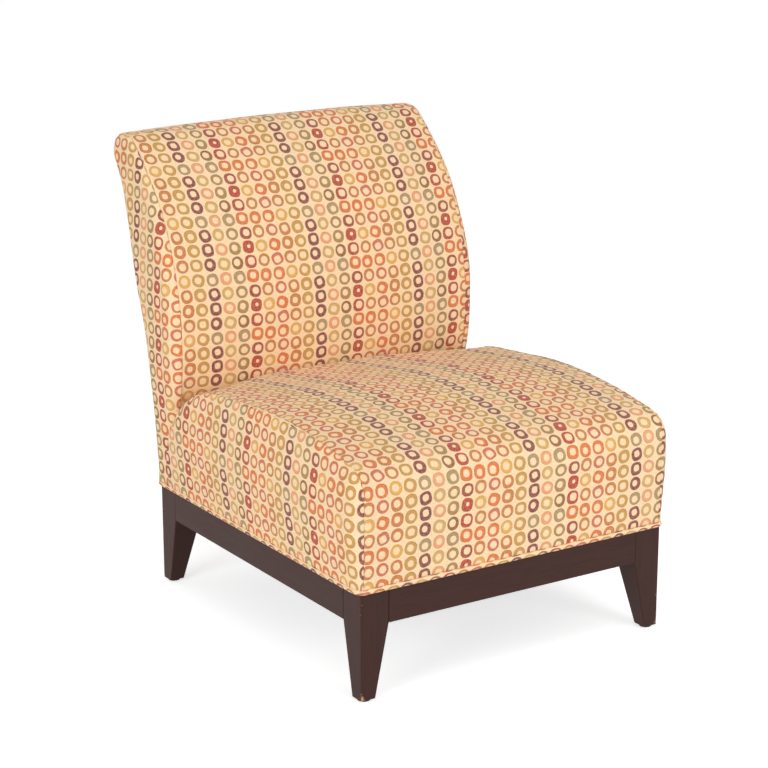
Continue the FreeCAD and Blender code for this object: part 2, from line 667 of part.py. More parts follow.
def soft_parts(step):
    back_outer, back_inner = back_body(0), back_body(COVER_THICKNESS)
    back_outside = whole(back_outer)
    seat_outer = [piece.cut(back_outside) for piece in seat_body(0)]
    pressed = back_outside.translated(V(0, -COVER_THICKNESS, 0))
    seat_inner = [piece.cut(pressed) for piece in seat_body(COVER_THICKNESS)]
    made = hem_bands(whole(seat_outer), back_outside)

    rear = JOINT_Y + COVER_THICKNESS
    frame_space = box(-FRAME_HALF, FRAME_HALF, FRAME_FRONT_Y, rear, BASE_HEIGHT, FOAM_Z)
    joint_space = box(-FRAME_HALF, FRAME_HALF, JOINT_Y - RUN_ON, rear, BASE_HEIGHT, INSULATOR_Z)
    names = ("seat_cover", "seat_side_left", "seat_side_right")
    for name, outer, inner in zip(names, seat_outer, seat_inner):
        made[name] = outer.cut([inner, joint_space])
    made["seat_foam"] = whole(seat_inner).cut(frame_space)
    insulator = box(-FRAME_HALF, FRAME_HALF, FRAME_FRONT_Y, JOINT_Y, INSULATOR_Z, FOAM_Z)
    made["seat_insulator"] = insulator.cut(pressed)

    band, left, right = [outer.cut([inner, joint_space]) for outer, inner in zip(back_outer, back_inner)]
    outside_top = RAKE_TOP_HEIGHT - OUTSIDE_BACK_DROP
    outside = rake_band(-SCROLL_OVERHANG, BACK_FOOT_DEPTH / 2, BODY_HALF, outside_top)
    made["back_cover_inside"] = band.cut(outside)
    made["back_cover_outside"] = band.common(outside)
    made["back_side_left"], made["back_side_right"] = left, right
    strip_zone = box(-BODY_HALF, BODY_HALF, 0, BASE_DEPTH, outside_top - TACK_STRIP_WIDTH, outside_top)
    strip = rake_band(COVER_THICKNESS, POST_REAR_INSET, FRAME_HALF, outside_top)
    made["back_tack_strip"] = strip.common(strip_zone)
    frame_and_hollow = rake_band(-SCROLL_OVERHANG, STRAP_INSET, FRAME_HALF, POST_TOP).cut(step)
    low_box = box(-BODY_HALF, BODY_HALF, 0, BASE_DEPTH, 0, INSULATOR_Z)
    made["back_foam"] = whole(back_inner).cut([frame_and_hollow, low_box, back_rails()["back_rail_middle"]])
    return {name: [shape] for name, shape in made.items()}


def main():
    step = post_step()
    parts = base_parts() | seat_frame_parts() | back_frame_parts(step) | soft_parts(step)
    front = side_outline(seat_corners()[0], 0, 0).BoundBox.YMin
    rear = side_outline(back_corners(BACK_FRONT_CROWN, BACK_TOP_CROWN), 0, 0).BoundBox.YMax
    to_origin = V(0, -(front + rear) / 2, 0)
    os.makedirs("parts", exist_ok=True)
    for name, solids in parts.items():
        shape = solids[0] if len(solids) == 1 else Part.makeCompound(solids)
        shape.translated(to_origin).exportStep("parts/" + name + ".step")


main()
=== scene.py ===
import bisect
import bmesh
import bpy
import math
from mathutils import Matrix, Vector, noise


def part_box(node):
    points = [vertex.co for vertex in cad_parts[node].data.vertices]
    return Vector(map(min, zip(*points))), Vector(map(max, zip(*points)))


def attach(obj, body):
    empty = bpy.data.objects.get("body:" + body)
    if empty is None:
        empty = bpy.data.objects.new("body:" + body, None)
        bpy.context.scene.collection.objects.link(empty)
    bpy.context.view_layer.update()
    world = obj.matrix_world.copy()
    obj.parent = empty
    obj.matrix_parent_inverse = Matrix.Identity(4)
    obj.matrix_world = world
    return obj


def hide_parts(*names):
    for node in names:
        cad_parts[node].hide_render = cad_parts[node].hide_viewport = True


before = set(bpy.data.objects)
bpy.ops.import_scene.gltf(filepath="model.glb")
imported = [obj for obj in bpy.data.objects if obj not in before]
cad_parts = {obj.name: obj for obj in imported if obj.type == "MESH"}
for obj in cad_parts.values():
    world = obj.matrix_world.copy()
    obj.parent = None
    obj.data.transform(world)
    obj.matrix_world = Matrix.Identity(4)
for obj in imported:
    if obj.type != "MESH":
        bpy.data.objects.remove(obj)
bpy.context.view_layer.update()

# Slipper chair: the cloth over the seat and the back, its hems, the stained base
# and the plain materials of what is inside. Metres. The chair faces -Y.
# Side views are drawn from the middle of the base, as (y, z, radius) corners that
# run from the front over the top to the rear. Front views are (x, z, radius).

BASE_MIDDLE = (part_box("base_rail_front")[0][1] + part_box("base_rail_rear")[1][1]) / 2
HEM_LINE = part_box("seat_cover")[0][2]

# Seams, measured from the middle of the chair, and the rounding beside them
SEAT_SEAM = 0.315
BACK_SEAM = 0.319
BACK_SEAM_HEIGHT = 0.742
HEM_HALF = 0.326
HEM_FRONT = -0.3588
EDGE_RADIUS = 0.022
SEAM_GAP = 0.00012

# Cloth and padding
CLOTH = 0.0015
PUFF = 0.0025
PUFF_FRAMES = 20
UNEVENNESS = 0.0012
PITCH_ACROSS = 0.0282
PITCH_ALONG = 0.0275

# Heights and depths that the side views share. FOOT lies under the hem line
FOOT = 0.134
FRONT = -0.358
BACK_FRONT = 0.2565
BACK_REAR = 0.361
BACK_TOP = 0.857
BASE_HALF_WIDTH = 0.320
BASE_HALF_DEPTH = 0.3565
LUMBAR_SWELL = 0.007
TOP_CROWN = 0.008
TOP_TILT = 0.0045

SEAT_FRONT = [(FRONT, FOOT, 0), (-0.3615, 0.397, 0.045)]
SEAT_MIDDLE = SEAT_FRONT + [(-0.1125, 0.459, 0.83), (0.2995, 0.403, 0.045), (0.345, FOOT, 0)]
SEAT_SIDE = SEAT_FRONT + [(-0.1505, 0.447, 1.05), (BACK_FRONT, 0.411, 0.2), (0.390, FOOT, 0)]
BACK_FOOT = [(0.329, FOOT, 0), (0.329, 0.240, 0.1)]
BACK_SIDE_FOOT = [(0.311, FOOT, 0), (0.311, 0.262, 0.1)]
BACK_BODY = [
    (BACK_FRONT, 0.390, 0.4), (BACK_FRONT, 0.697, 0.44), (0.4425, BACK_TOP, 0.055),
    (0.538, BACK_TOP, 0.032), (0.466, 0.750, 0.15), (BACK_REAR, 0.434, 0.7), (BACK_REAR, FOOT, 0),
]
BACK_SIDE = BACK_FOOT + BACK_BODY
LUMBAR_CORNERS = (2, 3)
TOP_CORNERS = (4, 5)
BACK_MIDDLE = [
    (y - (LUMBAR_SWELL if i in LUMBAR_CORNERS else 0), z + (TOP_CROWN if i in TOP_CORNERS else 0), r)
    for i, (y, z, r) in enumerate(BACK_SIDE)
]
FOOT_WIDTH = [(HEM_HALF, FOOT, 0), (HEM_HALF, 0.194, 0)]
SEAT_WIDTH_LINE = FOOT_WIDTH + [(0.340, 0.330, 0.4), (0.312, 0.504, 0)]
BACK_WIDTH_LINE = FOOT_WIDTH + [(0.346, 0.500, 2.8), (0.328, 0.865, 0), (0.328, 0.9, 0)]


# Lines and their measures

def right_of(direction):
    return Vector((direction.y, -direction.x))


def rounded_line(corners, inset=0.0, step=0.002):
    """Points along straight runs and the arcs between them, inset to the right of the line."""
    points = [Vector(corner[:2]) for corner in corners]
    ways = [(b - a).normalized() for a, b in zip(points, points[1:])]
    starts = [p + right_of(way) * inset for p, way in zip(points, ways)]
    line = [starts[0]]
    for i in range(1, len(ways)):
        arriving, leaving = ways[i - 1], ways[i]
        turn = arriving.cross(leaving)
        share = (starts[i] - starts[i - 1]).cross(leaving) / turn if abs(turn) > 1e-6 else 0
        corner = starts[i - 1] + arriving * share if abs(turn) > 1e-6 else starts[i]
        radius = corners[i][2] + (inset if turn > 0 else -inset) if corners[i][2] else 0
        angle = arriving.angle(leaving)
        reach = radius * math.tan(angle / 2)
        side = -1 if turn > 0 else 1
        centre = corner - arriving * reach + right_of(arriving) * radius * side
        count = max(1, round(radius * angle / step))
        for k in range(count + 1):
            bend = Matrix.Rotation(-side * angle * k / count, 2)
            line.append(centre + bend @ (corner - arriving * reach - centre))
    line.append(points[-1] + right_of(ways[-1]) * inset)
    return line


def lengths_along(line):
    total, run = 0.0, [0.0]
    for a, b in zip(line, line[1:]):
        total += (b - a).length
        run.append(total)
    return run


def at_length(line, run, length):
    i = min(max(bisect.bisect_right(run, length) - 1, 0), len(line) - 2)
    span = run[i + 1] - run[i] or 1
    return line[i].lerp(line[i + 1], (length - run[i]) / span)


def evenly(line, spaces):
    """The same line as a number of equal spaces."""
    run = lengths_along(line)
    return [at_length(line, run, run[-1] * k / spaces) for k in range(spaces + 1)]


def crowned(middle, side, x, seam):
    """Corners of the side view at a place across a panel, from those in its middle and at its seam."""
    share = min(1.0, abs(x) / seam) ** 3
    return [tuple(m + (s - m) * share for m, s in zip(*pair)) for pair in zip(middle, side)]


def back_corners(x):
    """Side view of the back at a place across it. Its top is a little lower on the left."""
    tilt = TOP_TILT * max(-1.0, min(1.0, x / BACK_SEAM))
    corners = crowned(BACK_MIDDLE, BACK_SIDE, x, BACK_SEAM)
    return [(y, z + (tilt if i in TOP_CORNERS else 0), r) for i, (y, z, r) in enumerate(corners)]


def half_width(line, z):
    """Half the width of the body at a height, from its front view."""
    for a, b in zip(line, line[1:]):
        if a.y <= z <= b.y:
            return a.x + (b.x - a.x) * (z - a.y) / ((b.y - a.y) or 1)
    return line[-1].x


def inside(line, p):
    """Whether a point of the side view is within a line that is closed along its bottom."""
    crossings = 0
    for a, b in zip(line, line[1:] + line[:1]):
        if (a.y > p.y) != (b.y > p.y) and p.x < a.x + (b.x - a.x) * (p.y - a.y) / (b.y - a.y):
            crossings += 1
    return crossings % 2 == 1


def depth_within(line, p):
    """How far inside a line, closed along its bottom, a point of the side view lies. 0 outside it."""
    return min((q - p).length for q in line) if inside(line, p) else 0.0


def across_stations(seam):
    """Places across a panel, close together beside the seams."""
    beside_seam = [0.0, 0.001, 0.0022, 0.004, 0.0065, 0.010]
    wide = [seam - SEAM_GAP - distance for distance in beside_seam]
    count = 56
    inner = [wide[-1] * k / count for k in range(count)]
    right = inner + wide[::-1]
    return [-x for x in right[:0:-1]] + right


# Cloth

def start_cloth(bm):
    return bm.verts.layers.float_vector.new("cloth")


def undulate(bm, amount, seed):
    """Soft unevenness of hand-laid padding, along the normals."""
    size = 0.09
    bm.normal_update()
    for v in bm.verts:
        v.co += v.normal * amount * noise.noise(v.co / size + Vector((seed, seed, seed)))


def slimmer(x, seam):
    """How far a panel starts inside its final shape before it is puffed out, less towards the seams."""
    full_from_seam = 0.025
    return PUFF * min(1.0, (seam - abs(x)) / full_from_seam)


def puff_out(bm, held):
    """Short cloth simulation that swells a panel between its seams. No point moves further than PUFF."""
    mesh = bpy.data.meshes.new("trial")
    bm.to_mesh(mesh)
    trial = bpy.data.objects.new("trial", mesh)
    bpy.context.collection.objects.link(trial)
    pins = trial.vertex_groups.new(name="seams")
    pins.add([v.index for v in bm.verts if held(v)], 1.0, "REPLACE")
    cloth = trial.modifiers.new("padding", "CLOTH")
    cloth.settings.quality = 4
    cloth.settings.vertex_group_mass = "seams"
    cloth.settings.use_pressure = True
    cloth.settings.uniform_pressure_force = 4
    cloth.settings.effector_weights.gravity = 0
    cloth.point_cache.frame_start = 1
    cloth.point_cache.frame_end = PUFF_FRAMES
    scene = bpy.context.scene
    for moment in range(1, PUFF_FRAMES + 1):
        scene.frame_set(moment)
    shaped = trial.evaluated_get(bpy.context.evaluated_depsgraph_get())
    moves = [w.co - v.co for v, w in zip(bm.verts, shaped.data.vertices)]
    bpy.data.objects.remove(trial)
    scene.frame_set(1)
    for v, move in zip(bm.verts, moves):
        if move.length > 0:
            v.co += move.normalized() * PUFF * math.tanh(move.length / PUFF)


def shape_seam(v, distance, along, seed):
    """Draws the cloth in beside a seam, with a small gather every couple of centimetres."""
    reach, dip_depth, dip_reach = 0.03, 0.0010, 0.0024
    gather_height, gather_reach, gather_length = 0.0012, 0.011, 0.014
    if distance > reach:
        return Vector()
    dip = dip_depth * math.exp(-distance / dip_reach)
    wave = noise.noise(Vector((along / gather_length, seed, 0)))
    return v.normal * (gather_height * math.exp(-distance / gather_reach) * wave - dip)


def finish_cloth(bm, name, material, node_names, thickness=CLOTH):
    """Writes the cloth's own lengths to its UV map, gives it its thickness and hangs it on the frame."""
    cloth = bm.verts.layers.float_vector["cloth"]
    uv = bm.loops.layers.uv.new("cloth")
    for face in bm.faces:
        face.smooth = True
        for loop in face.loops:
            loop[uv].uv = loop.vert[cloth].xy
    for v in bm.verts:
        v.co.y += BASE_MIDDLE
    mesh = bpy.data.meshes.new(name)
    bm.to_mesh(mesh)
    bm.free()
    mesh.materials.append(material)
    piece = bpy.data.objects.new(name, mesh)
    bpy.context.collection.objects.link(piece)
    if thickness:
        wall = piece.modifiers.new("cloth", "SOLIDIFY")
        wall.thickness = thickness
        wall.offset = -1
    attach(piece, "root")
    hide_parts(*node_names)


def cross_panel(lines, stations, seam, seed, within=None, softness=1.0):
    """Panel from seam to seam, laid over one side-view line at each station, soft or pulled flat.
    What lies deep within another side view is left out."""
    columns, rows = len(stations) - 1, len(lines[0]) - 1
    bm = bmesh.new()
    bmesh.ops.create_grid(bm, x_segments=columns, y_segments=rows, size=1)
    cloth = start_cloth(bm)
    runs = [lengths_along(line) for line in lines]
    for v in bm.verts:
        i, j = round((v.co.x + 1) / 2 * columns), round((v.co.y + 1) / 2 * rows)
        p = lines[i][j]
        v.co = (stations[i], p.x, p.y)
        v[cloth] = (stations[i], runs[i][j], 0)
    undulate(bm, UNEVENNESS * softness, seed)
    bm.verts.ensure_lookup_table()
    bm.verts.index_update()
    near, length = 0.001, runs[0][-1]

    def held(v):
        across, along = abs(v[cloth].x), v[cloth].y
        at_end = along < near or along > length - near or v.co.z < HEM_LINE + near
        return at_end or across > seam - 0.0015

    if softness == 1.0:
        puff_out(bm, held)
    bm.normal_update()
    shifts = [(v, shape_seam(v, seam - abs(v[cloth].x), v[cloth].y, seed)) for v in bm.verts]
    for v, shift in shifts:
        v.co += shift * softness
    if within:
        buried = [f for f in bm.faces if all(inside(within, v.co.yz) for v in f.verts)]
        bmesh.ops.delete(bm, geom=buried, context="FACES")
    bm.normal_update()
    turn_in(bm, open_edges(bm, lambda v: abs(v[cloth].x) > seam - 2 * SEAM_GAP))
    return bm


def open_edges(bm, accepted):
    return [e for e in bm.edges if e.is_boundary and all(accepted(v) for v in e.verts)]


def turn_in(bm, edges, depth=0.005):
    """Turns the edge of the cloth in at a seam."""
    normals = {v: v.normal.copy() for e in edges for v in e.verts}
    pairs = bmesh.ops.extrude_edge_only(bm, edges=edges)["geom"]
    for v in (g for g in pairs if isinstance(g, bmesh.types.BMVert)):
        others = [e.other_vert(v) for e in v.link_edges]
        nearest = min(others, key=lambda w: (w.co - v.co).length)
        v.co -= normals.get(nearest, v.normal) * depth


def cut_in_squares(bm, low, high, top, size=0.009):
    """Divides a flat side panel so that it can be bulged."""
    for axis, start, stop in ((Vector((0, 1, 0)), low, high), (Vector((0, 0, 1)), HEM_LINE, top)):
        place = start + size
        while place < stop:
            geom = bm.verts[:] + bm.edges[:] + bm.faces[:]
            bmesh.ops.bisect_plane(bm, geom=geom, dist=1e-5, plane_co=axis * place, plane_no=axis)
            place += size


def tuck_under(bm, over):
    """Dips a side panel under the panel whose side view is given, and leaves out what lies behind that."""
    reach, dip, kept, rear = 0.012, 0.010, 0.016, 0.335
    depths = {v: depth_within(over, v.co.yz) for v in bm.verts}
    for v, depth in depths.items():
        share = min(1.0, depth / reach)
        v.co.x -= dip * share * share * (3 - 2 * share)
    buried = [f for f in bm.faces if all(depths[v] > kept or v.co.y > rear for v in f.verts)]
    bmesh.ops.delete(bm, geom=buried, context="FACES")


def side_panel(corners, width_line, seam, hand, seed, over=None):
    """Side panel, flat in the middle and rounded over to the seam along its outline.
    It is made for the right side and mirrored for the left, and dips under the side view over it."""
    rim = rounded_line(corners, EDGE_RADIUS, 0.004)
    rim = evenly(rim, round(lengths_along(rim)[-1] / 0.006))
    bm = bmesh.new()
    cloth = start_cloth(bm)
    base = bm.verts.layers.float_vector.new("base")
    out = bm.verts.layers.float_vector.new("out")
    bm.faces.new([bm.verts.new((0, p.x, p.y)) for p in rim])
    cut_in_squares(bm, min(p.x for p in rim), max(p.x for p in rim), max(p.y for p in rim))
    ways = [(rim[min(i + 1, len(rim) - 1)] - rim[max(i - 1, 0)]).normalized() for i in range(len(rim))]
    for v in bm.verts:
        v[base] = (0, v.co.y, v.co.z)
    foot = min(rim[0].y, rim[-1].y) + 1e-5
    edge = [e for e in bm.edges if e.is_boundary and any(v.co.z > foot for v in e.verts)]
    for v in {v for e in edge for v in e.verts}:
        p = Vector((v.co.y, v.co.z))
        i = min(range(len(rim)), key=lambda k: (rim[k] - p).length_squared)
        out_way = -right_of(ways[i])
        v[out] = (0, out_way.x, out_way.y)
    for v in bm.verts:
        v[cloth] = (v[base].y, v[base].z, 0)

    # Rounds the outline over, keeping the angle of each vertex in its x for now
    for degrees in (14, 28, 42, 56, 68, 78, 84, 88, 90):
        turn = math.radians(degrees)
        reach, arc = EDGE_RADIUS * math.sin(turn), EDGE_RADIUS * turn
        made = bmesh.ops.extrude_edge_only(bm, edges=edge)["geom"]
        new_edges = [g for g in made if isinstance(g, bmesh.types.BMEdge)]
        edge = [e for e in new_edges if e.is_boundary and all(v in made for v in e.verts)]
        for v in (g for g in made if isinstance(g, bmesh.types.BMVert)):
            v.co.y = v[base].y + v[out].y * reach
            v.co.z = v[base].z + v[out].z * reach
            v.co.x = degrees
            v[cloth] = (v[base].y + v[out].y * arc, v[base].z + v[out].z * arc, 0)
    for v in bm.verts:
        degrees = v.co.x
        bulge = half_width(width_line, v.co.z) - seam - SEAM_GAP
        v.co.x = seam + SEAM_GAP + bulge * math.cos(math.radians(degrees))
        v[out] = (degrees, v[out].y, v[out].z)

    geom = bm.verts[:] + bm.edges[:] + bm.faces[:]
    hem = {"plane_co": (0, 0, HEM_LINE), "plane_no": (0, 0, 1)}
    bmesh.ops.bisect_plane(bm, geom=geom, dist=1e-6, clear_inner=True, **hem)
    bmesh.ops.recalc_face_normals(bm, faces=bm.faces)
    bm.normal_update()
    if sum(f.normal.x * f.calc_area() for f in bm.faces) < 0:
        bmesh.ops.reverse_faces(bm, faces=bm.faces)
    undulate(bm, UNEVENNESS, seed)
    bm.normal_update()
    shifts = []
    for v in bm.verts:
        distance = EDGE_RADIUS * math.radians(90 - v[out].x) if v[out].x > 0 else 1
        shifts.append((v, shape_seam(v, distance, v[base].y + v[base].z, seed)))
    for v, shift in shifts:
        v.co += shift
    if over:
        tuck_under(bm, over)
    bm.normal_update()
    turn_in(bm, open_edges(bm, lambda v: v[out].x > 89))
    if hand < 0:
        for v in bm.verts:
            v.co.x = -v.co.x
        bmesh.ops.reverse_faces(bm, faces=bm.faces)
    return bm


# Materials

def new_material(name, roughness, specular=0.5):
    material = bpy.data.materials.new(name)
    material.use_nodes = True
    shader = material.node_tree.nodes["Principled BSDF"]
    shader.inputs["Roughness"].default_value = roughness
    shader.inputs["Specular IOR Level"].default_value = specular
    return material, material.node_tree, shader


class Sums:
    """Short names for the arithmetic of one material."""

    def __init__(self, tree):
        self.tree = tree

    def feed(self, socket, value):
        if isinstance(value, bpy.types.NodeSocket):
            self.tree.links.new(value, socket)
        else:
            socket.default_value = value

    def do(self, operation, *values):
        node = self.tree.nodes.new("ShaderNodeMath")
        node.operation = operation
        for socket, value in zip(node.inputs, values):
            self.feed(socket, value)
        return node.outputs[0]

    def split(self, vector):
        node = self.tree.nodes.new("ShaderNodeSeparateXYZ")
        self.feed(node.inputs[0], vector)
        return node.outputs[0], node.outputs[1], node.outputs[2]

    def join(self, x, y, z=0.0):
        node = self.tree.nodes.new("ShaderNodeCombineXYZ")
        for socket, value in zip(node.inputs, (x, y, z)):
            self.feed(socket, value)
        return node.outputs[0]

    def spread(self, value, low, high, to_low=0.0, to_high=1.0, smooth=True):
        node = self.tree.nodes.new("ShaderNodeMapRange")
        node.interpolation_type = "SMOOTHSTEP" if smooth else "LINEAR"
        for socket, v in zip(node.inputs[:5], (value, low, high, to_low, to_high)):
            self.feed(socket, v)
        return node.outputs[0]

    def pick(self, share, low, high):
        """Value between two limits, from a number from 0 to 1."""
        return self.spread(share, 0, 1, low, high, smooth=False)

    def mix(self, share, a, b, blend="MIX"):
        node = self.tree.nodes.new("ShaderNodeMix")
        node.data_type = "RGBA"
        node.blend_type = blend
        self.feed(node.inputs["Factor"], share)
        self.feed(node.inputs[6], a)
        self.feed(node.inputs[7], b)
        return node.outputs[2]

    def noise(self, vector, scale, detail=3.0, roughness=0.5):
        node = self.tree.nodes.new("ShaderNodeTexNoise")
        self.feed(node.inputs["Vector"], vector)
        node.inputs["Scale"].default_value = scale
        node.inputs["Detail"].default_value = detail
        node.inputs["Roughness"].default_value = roughness
        return node.outputs["Fac"]

    def chance(self, x, y, seed):
        """Number from 0 to 1 that belongs to one ring of the repeat."""
        node = self.tree.nodes.new("ShaderNodeTexWhiteNoise")
        node.noise_dimensions = "3D"
        spot = self.join(self.do("ADD", x, 0.5), self.do("ADD", y, 0.5), seed + 0.5)
        self.feed(node.inputs["Vector"], spot)
        return node.outputs["Value"]

    def bump(self, height, strength, distance):
        node = self.tree.nodes.new("ShaderNodeBump")
        node.inputs["Strength"].default_value = strength
        node.inputs["Distance"].default_value = distance
        self.feed(node.inputs["Height"], height)
        return node.outputs[0]

    def steps(self, value, colours):
        node = self.tree.nodes.new("ShaderNodeValToRGB")
        ramp = node.color_ramp
        ramp.interpolation = "CONSTANT"
        while len(ramp.elements) < len(colours):
            ramp.elements.new(1.0)
        for k, colour in enumerate(colours):
            ramp.elements[k].position = k / len(colours)
            ramp.elements[k].color = colour
        self.feed(node.inputs[0], value)
        return node.outputs[0]


def tone(red, green, blue):
    """Colour as it is seen, given from 0 to 255, as the light that it stands for."""
    def light(value):
        value = value / 255
        return value / 12.92 if value <= 0.04045 else ((value + 0.055) / 1.055) ** 2.4
    return (light(red), light(green), light(blue), 1.0)


PLUM = tone(130, 54, 60)
OLIVE_GREY = tone(168, 140, 98)
PALE_GOLD = tone(210, 168, 98)
PEACH = tone(232, 158, 112)
BROWN = tone(142, 92, 50)
OLIVE = tone(166, 128, 76)
RED = tone(180, 56, 44)
BURGUNDY = tone(156, 58, 54)
ORANGE = tone(220, 112, 52)
YELLOW = tone(226, 168, 80)
ROSE = tone(206, 104, 82)
TAN = tone(202, 120, 60)
GOLD = tone(200, 148, 70)

# Eight columns of four rings, from the plum column to the right, each from the bottom up
RINGS = [
    (PLUM, PLUM, PLUM, OLIVE_GREY),
    (PALE_GOLD, PEACH, PALE_GOLD, PEACH),
    (BROWN, OLIVE, OLIVE, OLIVE_GREY),
    (RED, RED, BURGUNDY, ORANGE),
    (TAN, YELLOW, TAN, ORANGE),
    (ROSE, ORANGE, ROSE, ORANGE),
    (TAN, TAN, TAN, YELLOW),
    (GOLD, GOLD, GOLD, GOLD),
]
COLUMNS, ROWS = len(RINGS), len(RINGS[0])

# The one ring of the repeat whose hole is small
BLOCK_COLUMN, BLOCK_ROW = 3.0, 1.0


def ring_cell(s, place, start_across, start_along, direction):
    """Column and row of the repeat at a place on the cloth, and where the place lies in that cell."""
    u, v, _ = s.split(place)
    pitch = PITCH_ACROSS * direction
    wobble = s.do("MULTIPLY", s.do("SUBTRACT", s.noise(place, 22.0, 1.0), 0.5), 0.06)
    across = s.do("DIVIDE", s.do("SUBTRACT", u, start_across - pitch / 2), pitch)
    across = s.do("ADD", across, wobble)
    along = s.do("DIVIDE", s.do("SUBTRACT", v, start_along - PITCH_ALONG / 2), PITCH_ALONG)
    column, row = s.do("FLOOR", across), s.do("FLOOR", along)
    x = s.do("SUBTRACT", s.do("SUBTRACT", across, column), 0.5)
    y = s.do("SUBTRACT", s.do("SUBTRACT", along, row), 0.5)
    return s.do("FLOORED_MODULO", column, COLUMNS), s.do("FLOORED_MODULO", row, ROWS), x, y


def ring_edges(s, place, column, row, x, y):
    """Distance from the middle of a ring and from that of its hole, as shares of their outlines."""
    chances = [s.chance(column, row, seed) for seed in range(8)]
    turn = s.pick(chances[0], -0.4, 0.4)
    cos, sin = s.do("COSINE", turn), s.do("SINE", turn)
    x = s.do("ADD", x, s.pick(chances[6], -0.02, 0.02))
    y = s.do("ADD", y, s.pick(chances[7], -0.02, 0.02))
    turned_x = s.do("ADD", s.do("MULTIPLY", x, cos), s.do("MULTIPLY", y, sin))
    turned_y = s.do("SUBTRACT", s.do("MULTIPLY", y, cos), s.do("MULTIPLY", x, sin))
    power = s.pick(chances[1], 1.95, 2.7)
    wide, tall = s.pick(chances[2], 0.410, 0.455), s.pick(chances[3], 0.415, 0.460)

    def oval(px, py, half_x, half_y):
        a = s.do("POWER", s.do("ABSOLUTE", s.do("DIVIDE", px, half_x)), power)
        b = s.do("POWER", s.do("ABSOLUTE", s.do("DIVIDE", py, half_y)), power)
        return s.do("POWER", s.do("ADD", a, b), s.do("DIVIDE", 1.0, power))

    hole = s.pick(s.do("FRACT", s.do("MULTIPLY", chances[4], 7.3)), 0.47, 0.59)
    in_block_column = s.do("COMPARE", column, BLOCK_COLUMN, 0.1)
    in_block = s.do("MULTIPLY", in_block_column, s.do("COMPARE", row, BLOCK_ROW, 0.1))
    hole = s.do("SUBTRACT", hole, s.do("MULTIPLY", in_block, 0.30))
    hole_x = s.do("SUBTRACT", turned_x, s.pick(chances[4], -0.045, 0.045))
    hole_y = s.do("SUBTRACT", turned_y, s.pick(chances[5], -0.045, 0.045))
    inner = oval(hole_x, hole_y, s.do("MULTIPLY", wide, hole), s.do("MULTIPLY", tall, hole))
    ragged = s.do("MULTIPLY", s.do("SUBTRACT", s.noise(place, 420.0, 2.0), 0.5), 0.07)
    return s.do("ADD", oval(turned_x, turned_y, wide, tall), ragged), s.do("ADD", inner, ragged)


def ring_cloth(name, start_across, start_along, direction=1):
    """Printed cloth: rows of hand-drawn rings on a cream ground. Its UV map holds lengths in metres.
    The repeat starts at the given place, and with direction -1 its columns run the other way."""
    material, tree, shader = new_material(name, 0.92, 0.25)
    s = Sums(tree)
    uv = tree.nodes.new("ShaderNodeUVMap")
    uv.uv_map = "cloth"
    place = uv.outputs[0]
    column, row, x, y = ring_cell(s, place, start_across, start_along, direction)
    outer, inner = ring_edges(s, place, column, row, x, y)
    ink = s.do("MULTIPLY", s.spread(outer, 0.97, 1.03, 1, 0), s.spread(inner, 0.95, 1.06, 0, 1))
    brush = s.noise(place, 260.0, 3.0, 0.6)
    ink = s.do("MULTIPLY", ink, s.spread(brush, 0.3, 0.7, 0.78, 1.0))

    cells = COLUMNS * ROWS
    cell = s.do("ADD", s.do("MULTIPLY", column, float(ROWS)), row)
    cell = s.do("ADD", s.do("DIVIDE", cell, float(cells)), 0.5 / cells)
    ring = s.steps(cell, [ring for column_rings in RINGS for ring in column_rings])
    dark_rim = s.mix(0.45, ring, (0.05, 0.02, 0.015, 1))
    ring = s.mix(s.do("MULTIPLY", s.spread(outer, 0.72, 0.98), 0.36), ring, dark_rim)
    mottle = s.spread(s.noise(place, 300.0, 4.0, 0.7), 0.3, 0.7)
    colour = s.mix(ink, s.mix(mottle, tone(240, 203, 158), tone(253, 227, 188)), ring)
    u, v, _ = s.split(place)
    threads = weave_height(s, u, v, 0.00085)
    # Painted shade: the cloth is darkened where the weave's threads dip, in the recesses between them
    painted_weave_shade = s.spread(threads, 0.0, 0.6, 0.16, 0.0)
    colour = s.mix(painted_weave_shade, colour, tone(196, 160, 118), blend="MULTIPLY")
    tree.links.new(colour, shader.inputs["Base Color"])
    tree.links.new(s.bump(threads, 0.35, 0.0003), shader.inputs["Normal"])
    shader.inputs["Sheen Weight"].default_value = 0.12
    shader.inputs["Sheen Roughness"].default_value = 0.5
    return material


def weave_height(s, u, v, thread):
    """Height of a plain weave, with threads that wide."""
    scale = math.pi / thread
    warp = s.do("ABSOLUTE", s.do("SINE", s.do("MULTIPLY", u, scale)))
    weft = s.do("ABSOLUTE", s.do("SINE", s.do("MULTIPLY", v, scale)))
    return s.do("MULTIPLY", s.do("POWER", warp, 0.7), s.do("POWER", weft, 0.7))


def place_in_piece(tree, scale=(1, 1, 1)):
    """Place on the piece's own axes, plain and stretched."""
    node = tree.nodes.new("ShaderNodeTexCoord")
    mapping = tree.nodes.new("ShaderNodeMapping")
    mapping.inputs["Scale"].default_value = scale
    tree.links.new(node.outputs["Object"], mapping.inputs["Vector"])
    return node.outputs["Object"], mapping.outputs[0]


